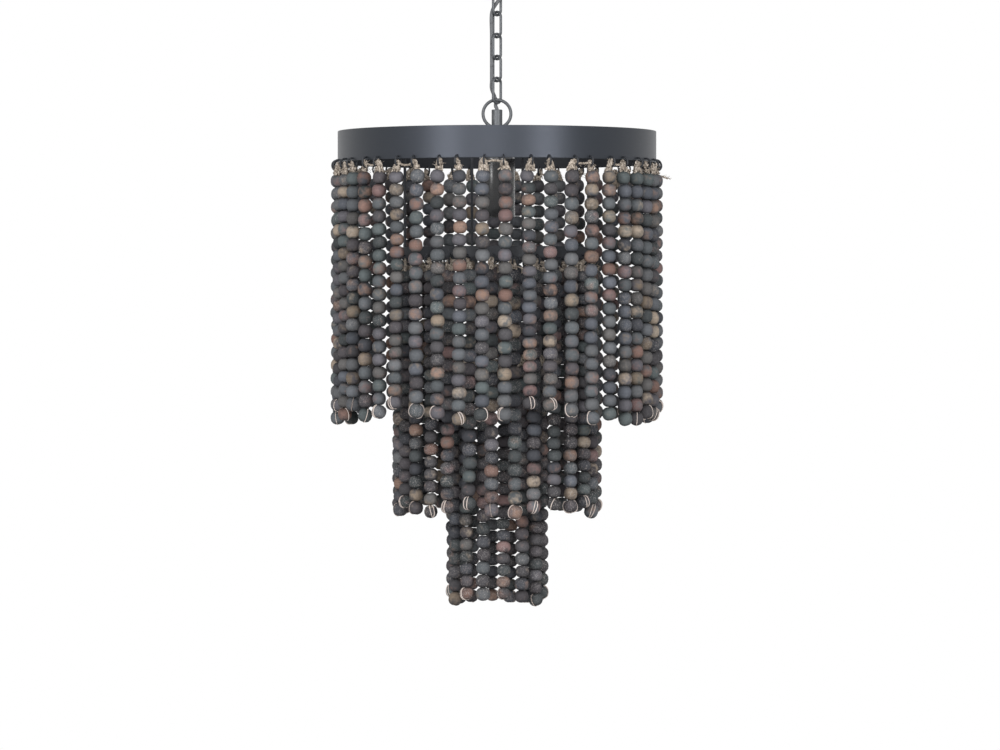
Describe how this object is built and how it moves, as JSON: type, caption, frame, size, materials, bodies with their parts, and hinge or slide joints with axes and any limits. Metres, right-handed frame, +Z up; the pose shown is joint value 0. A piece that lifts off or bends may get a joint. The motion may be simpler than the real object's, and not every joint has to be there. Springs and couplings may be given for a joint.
{
  "type": "beaded chandelier",
  "caption": "Three-tier chandelier of wooden bead strands on steel hoops, hung on a link chain from a round ceiling canopy.",
  "frame": {"origin": "middle of the mounting bracket's top face, on the ceiling", "axes": "+Z up, -Y towards the front view, +X to the right seen from the front"},
  "size_m": [0.4196, 0.4197, 0.8284],
  "materials": {
    "steel_dark": "satin",
    "band_paint": "satin",
    "socket_black": "gloss",
    "holder_black": "matte",
    "cord_grey": "matte",
    "beads_wood": "matte",
    "twine_jute": "matte"
  },
  "bodies": {
    "ceiling_fitting": {"mounting_bracket": "steel_dark", "ceiling_canopy": "steel_dark", "canopy_loop": "steel_dark", "supply_cord": "cord_grey"},
    "link_1": {"chain_link_1": "steel_dark"},
    "link_2": {"chain_link_2": "steel_dark"},
    "link_3": {"chain_link_3": "steel_dark"},
    "link_4": {"chain_link_4": "steel_dark"},
    "link_5": {"chain_link_5": "steel_dark"},
    "fixture": {"hanging_loop": "steel_dark", "stem_tube": "steel_dark", "cross_frame": "steel_dark", "drum_band": "band_paint", "mid_hoop": "steel_dark", "inner_hoop": "steel_dark", "socket_cup": "socket_black", "lamp_holder": "holder_black"},
    "outer_strands_01": {"outer_strands_01": "beads_wood"},
    "outer_strands_02": {"outer_strands_02": "beads_wood"},
    "outer_strands_03": {"outer_strands_03": "beads_wood"},
    "outer_strands_04": {"outer_strands_04": "beads_wood"},
    "outer_strands_05": {"outer_strands_05": "beads_wood"},
    "outer_strands_06": {"outer_strands_06": "beads_wood"},
    "outer_strands_07": {"outer_strands_07": "beads_wood"},
    "outer_strands_08": {"outer_strands_08": "beads_wood"},
    "outer_strands_09": {"outer_strands_09": "beads_wood"},
    "outer_strands_10": {"outer_strands_10": "beads_wood"},
    "outer_strands_11": {"outer_strands_11": "beads_wood"},
    "outer_strands_12": {"outer_strands_12": "beads_wood"},
    "outer_strands_13": {"outer_strands_13": "beads_wood"},
    "outer_strands_14": {"outer_strands_14": "beads_wood"},
    "outer_strands_15": {"outer_strands_15": "beads_wood"},
    "outer_strands_16": {"outer_strands_16": "beads_wood"},
    "outer_strands_17": {"outer_strands_17": "beads_wood"},
    "outer_strands_18": {"outer_strands_18": "beads_wood"},
    "outer_strands_19": {"outer_strands_19": "beads_wood"},
    "outer_strands_20": {"outer_strands_20": "beads_wood"},
    "outer_strands_21": {"outer_strands_21": "beads_wood"},
    "outer_strands_22": {"outer_strands_22": "beads_wood"},
    "mid_strands_01": {"mid_strands_01": "beads_wood"},
    "mid_strands_02": {"mid_strands_02": "beads_wood"},
    "mid_strands_03": {"mid_strands_03": "beads_wood"},
    "mid_strands_04": {"mid_strands_04": "beads_wood"},
    "mid_strands_05": {"mid_strands_05": "beads_wood"},
    "mid_strands_06": {"mid_strands_06": "beads_wood"},
    "mid_strands_07": {"mid_strands_07": "beads_wood"},
    "mid_strands_08": {"mid_strands_08": "beads_wood"},
    "mid_strands_09": {"mid_strands_09": "beads_wood"},
    "mid_strands_10": {"mid_strands_10": "beads_wood"},
    "mid_strands_11": {"mid_strands_11": "beads_wood"},
    "mid_strands_12": {"mid_strands_12": "beads_wood"},
    "mid_strands_13": {"mid_strands_13": "beads_wood"},
    "mid_strands_14": {"mid_strands_14": "beads_wood"},
    "inner_strands_01": {"inner_strands_01": "beads_wood"},
    "inner_strands_02": {"inner_strands_02": "beads_wood"},
    "inner_strands_03": {"inner_strands_03": "beads_wood"},
    "inner_strands_04": {"inner_strands_04": "beads_wood"},
    "inner_strands_05": {"inner_strands_05": "beads_wood"},
    "inner_strands_06": {"inner_strands_06": "beads_wood"},
    "inner_strands_07": {"inner_strands_07": "beads_wood"}
  },
  "joints": [
    {"name": "link_1_swing", "type": "hinge", "parent": "ceiling_fitting", "child": "link_1", "pos_m": [0, 0, -0.05225], "axis": [0.7071, 0.7071, 0], "range_deg": [-15, 15], "deforming": ["supply_cord"]},
    {"name": "link_2_swing", "type": "hinge", "parent": "link_1", "child": "link_2", "pos_m": [0, 0, -0.07985], "axis": [0.7071, -0.7071, 0], "range_deg": [-15, 15]},
    {"name": "link_3_swing", "type": "hinge", "parent": "link_2", "child": "link_3", "pos_m": [0, 0, -0.10745], "axis": [0.7071, 0.7071, 0], "range_deg": [-15, 15]},
    {"name": "link_4_swing", "type": "hinge", "parent": "link_3", "child": "link_4", "pos_m": [0, 0, -0.13505], "axis": [0.7071, -0.7071, 0], "range_deg": [-15, 15]},
    {"name": "link_5_swing", "type": "hinge", "parent": "link_4", "child": "link_5", "pos_m": [0, 0, -0.16265], "axis": [0.7071, 0.7071, 0], "range_deg": [-15, 15]},
    {"name": "fixture_swing", "type": "hinge", "parent": "link_5", "child": "fixture", "pos_m": [0, 0, -0.19], "axis": [1, 0, 0], "range_deg": [-15, 15]},
    {"name": "outer_strands_01_swing", "type": "hinge", "parent": "fixture", "child": "outer_strands_01", "pos_m": [-0.0035, -0.20046, -0.2766], "axis": [-0.9998, 0.0175, 0], "range_deg": [-6, 50]},
    {"name": "outer_strands_02_swing", "type": "hinge", "parent": "fixture", "child": "outer_strands_02", "pos_m": [0.05298, -0.19336, -0.2766], "axis": [-0.9645, -0.2643, 0], "range_deg": [-6, 50]},
    {"name": "outer_strands_03_swing", "type": "hinge", "parent": "fixture", "child": "outer_strands_03", "pos_m": [0.10496, -0.17082, -0.2766], "axis": [-0.852, -0.5235, 0], "range_deg": [-6, 50]},
    {"name": "outer_strands_04_swing", "type": "hinge", "parent": "fixture", "child": "outer_strands_04", "pos_m": [0.14839, -0.13481, -0.2766], "axis": [-0.6724, -0.7402, 0], "range_deg": [-6, 50]},
    {"name": "outer_strands_05_swing", "type": "hinge", "parent": "fixture", "child": "outer_strands_05", "pos_m": [0.18, -0.0883, -0.2766], "axis": [-0.4404, -0.8978, 0], "range_deg": [-6, 50]},
    {"name": "outer_strands_06_swing", "type": "hinge", "parent": "fixture", "child": "outer_strands_06", "pos_m": [0.19742, -0.03495, -0.2766], "axis": [-0.1743, -0.9847, 0], "range_deg": [-6, 50]},
    {"name": "outer_strands_07_swing", "type": "hinge", "parent": "fixture", "child": "outer_strands_07", "pos_m": [0.19937, 0.02109, -0.2766], "axis": [0.1052, -0.9944, 0], "range_deg": [-6, 50]},
    {"name": "outer_strands_08_swing", "type": "hinge", "parent": "fixture", "child": "outer_strands_08", "pos_m": [0.18572, 0.07553, -0.2766], "axis": [0.3767, -0.9263, 0], "range_deg": [-6, 50]},
    {"name": "outer_strands_09_swing", "type": "hinge", "parent": "fixture", "child": "outer_strands_09", "pos_m": [0.15744, 0.12413, -0.2766], "axis": [0.6192, -0.7853, 0], "range_deg": [-6, 50]},
    {"name": "outer_strands_10_swing", "type": "hinge", "parent": "fixture", "child": "outer_strands_10", "pos_m": [0.11662, 0.16308, -0.2766], "axis": [0.8134, -0.5817, 0], "range_deg": [-6, 50]},
    {"name": "outer_strands_11_swing", "type": "hinge", "parent": "fixture", "child": "outer_strands_11", "pos_m": [0.06634, 0.18919, -0.2766], "axis": [0.9437, -0.3309, 0], "range_deg": [-6, 50]},
    {"name": "outer_strands_12_swing", "type": "hinge", "parent": "fixture", "child": "outer_strands_12", "pos_m": [0.01049, 0.20021, -0.2766], "axis": [0.9986, -0.0523, 0], "range_deg": [-6, 50]},
    {"name": "outer_strands_13_swing", "type": "hinge", "parent": "fixture", "child": "outer_strands_13", "pos_m": [-0.04648, 0.19503, -0.2766], "axis": [0.9728, 0.2318, 0], "range_deg": [-6, 50]},
    {"name": "outer_strands_14_swing", "type": "hinge", "parent": "fixture", "child": "outer_strands_14", "pos_m": [-0.0999, 0.17383, -0.2766], "axis": [0.867, 0.4983, 0], "range_deg": [-6, 50]},
    {"name": "outer_strands_15_swing", "type": "hinge", "parent": "fixture", "child": "outer_strands_15", "pos_m": [-0.14527, 0.13817, -0.2766], "axis": [0.6892, 0.7246, 0], "range_deg": [-6, 50]},
    {"name": "outer_strands_16_swing", "type": "hinge", "parent": "fixture", "child": "outer_strands_16", "pos_m": [-0.1787, 0.0909, -0.2766], "axis": [0.4534, 0.8913, 0], "range_deg": [-6, 50]},
    {"name": "outer_strands_17_swing", "type": "hinge", "parent": "fixture", "child": "outer_strands_17", "pos_m": [-0.19724, 0.03593, -0.2766], "axis": [0.1792, 0.9838, 0], "range_deg": [-6, 50]},
    {"name": "outer_strands_18_swing", "type": "hinge", "parent": "fixture", "child": "outer_strands_18", "pos_m": [-0.19927, -0.02208, -0.2766], "axis": [-0.1102, 0.9939, 0], "range_deg": [-6, 50]},
    {"name": "outer_strands_19_swing", "type": "hinge", "parent": "fixture", "child": "outer_strands_19", "pos_m": [-0.1846, -0.07821, -0.2766], "axis": [-0.3901, 0.9208, 0], "range_deg": [-6, 50]},
    {"name": "outer_strands_20_swing", "type": "hinge", "parent": "fixture", "child": "outer_strands_20", "pos_m": [-0.15456, -0.1277, -0.2766], "axis": [-0.6369, 0.7709, 0], "range_deg": [-6, 50]},
    {"name": "outer_strands_21_swing", "type": "hinge", "parent": "fixture", "child": "outer_strands_21", "pos_m": [-0.11178, -0.16643, -0.2766], "axis": [-0.8301, 0.5575, 0], "range_deg": [-6, 50]},
    {"name": "outer_strands_22_swing", "type": "hinge", "parent": "fixture", "child": "outer_strands_22", "pos_m": [-0.05997, -0.19131, -0.2766], "axis": [-0.9542, 0.2991, 0], "range_deg": [-6, 50]},
    {"name": "mid_strands_01_swing", "type": "hinge", "parent": "fixture", "child": "mid_strands_01", "pos_m": [0.00688, -0.12303, -0.3966], "axis": [-0.9984, -0.0558, 0], "range_deg": [-3, 14]},
    {"name": "mid_strands_02_swing", "type": "hinge", "parent": "fixture", "child": "mid_strands_02", "pos_m": [0.05958, -0.10786, -0.3966], "axis": [-0.8753, -0.4835, 0], "range_deg": [-3, 14]},
    {"name": "mid_strands_03_swing", "type": "hinge", "parent": "fixture", "child": "mid_strands_03", "pos_m": [0.10048, -0.07133, -0.3966], "axis": [-0.5789, -0.8154, 0], "range_deg": [-3, 14]},
    {"name": "mid_strands_04_swing", "type": "hinge", "parent": "fixture", "child": "mid_strands_04", "pos_m": [0.12147, -0.02067, -0.3966], "axis": [-0.1678, -0.9858, 0], "range_deg": [-3, 14]},
    {"name": "mid_strands_05_swing", "type": "hinge", "parent": "fixture", "child": "mid_strands_05", "pos_m": [0.11841, 0.03408, -0.3966], "axis": [0.2766, -0.961, 0], "range_deg": [-3, 14]},
    {"name": "mid_strands_06_swing", "type": "hinge", "parent": "fixture", "child": "mid_strands_06", "pos_m": [0.0919, 0.08209, -0.3966], "axis": [0.6662, -0.7458, 0], "range_deg": [-3, 14]},
    {"name": "mid_strands_07_swing", "type": "hinge", "parent": "fixture", "child": "mid_strands_07", "pos_m": [0.04718, 0.11383, -0.3966], "axis": [0.9238, -0.3829, 0], "range_deg": [-3, 14]},
    {"name": "mid_strands_08_swing", "type": "hinge", "parent": "fixture", "child": "mid_strands_08", "pos_m": [-0.00688, 0.12303, -0.3966], "axis": [0.9984, 0.0558, 0], "range_deg": [-3, 14]},
    {"name": "mid_strands_09_swing", "type": "hinge", "parent": "fixture", "child": "mid_strands_09", "pos_m": [-0.05958, 0.10786, -0.3966], "axis": [0.8753, 0.4835, 0], "range_deg": [-3, 14]},
    {"name": "mid_strands_10_swing", "type": "hinge", "parent": "fixture", "child": "mid_strands_10", "pos_m": [-0.10048, 0.07133, -0.3966], "axis": [0.5789, 0.8154, 0], "range_deg": [-3, 14]},
    {"name": "mid_strands_11_swing", "type": "hinge", "parent": "fixture", "child": "mid_strands_11", "pos_m": [-0.12147, 0.02067, -0.3966], "axis": [0.1678, 0.9858, 0], "range_deg": [-3, 14]},
    {"name": "mid_strands_12_swing", "type": "hinge", "parent": "fixture", "child": "mid_strands_12", "pos_m": [-0.11841, -0.03408, -0.3966], "axis": [-0.2766, 0.961, 0], "range_deg": [-3, 14]},
    {"name": "mid_strands_13_swing", "type": "hinge", "parent": "fixture", "child": "mid_strands_13", "pos_m": [-0.0919, -0.08209, -0.3966], "axis": [-0.6662, 0.7458, 0], "range_deg": [-3, 14]},
    {"name": "mid_strands_14_swing", "type": "hinge", "parent": "fixture", "child": "mid_strands_14", "pos_m": [-0.04718, -0.11383, -0.3966], "axis": [-0.9238, 0.3829, 0], "range_deg": [-3, 14]},
    {"name": "inner_strands_01_swing", "type": "hinge", "parent": "fixture", "child": "inner_strands_01", "pos_m": [-0.00484, -0.05536, -0.5166], "axis": [-0.9962, 0.0872, 0], "range_deg": [-1, 12]},
    {"name": "inner_strands_02_swing", "type": "hinge", "parent": "fixture", "child": "inner_strands_02", "pos_m": [0.04026, -0.0383, -0.5166], "axis": [-0.6893, -0.7245, 0], "range_deg": [-1, 12]},
    {"name": "inner_strands_03_swing", "type": "hinge", "parent": "fixture", "child": "inner_strands_03", "pos_m": [0.05505, 0.0076, -0.5166], "axis": [0.1367, -0.9906, 0], "range_deg": [-1, 12]},
    {"name": "inner_strands_04_swing", "type": "hinge", "parent": "fixture", "child": "inner_strands_04", "pos_m": [0.02838, 0.04778, -0.5166], "axis": [0.8597, -0.5108, 0], "range_deg": [-1, 12]},
    {"name": "inner_strands_05_swing", "type": "hinge", "parent": "fixture", "child": "inner_strands_05", "pos_m": [-0.01966, 0.05198, -0.5166], "axis": [0.9354, 0.3537, 0], "range_deg": [-1, 12]},
    {"name": "inner_strands_06_swing", "type": "hinge", "parent": "fixture", "child": "inner_strands_06", "pos_m": [-0.05289, 0.01704, -0.5166], "axis": [0.3066, 0.9518, 0], "range_deg": [-1, 12]},
    {"name": "inner_strands_07_swing", "type": "hinge", "parent": "fixture", "child": "inner_strands_07", "pos_m": [-0.0463, -0.03073, -0.5166], "axis": [-0.553, 0.8332, 0], "range_deg": [-1, 12]}
  ]
}
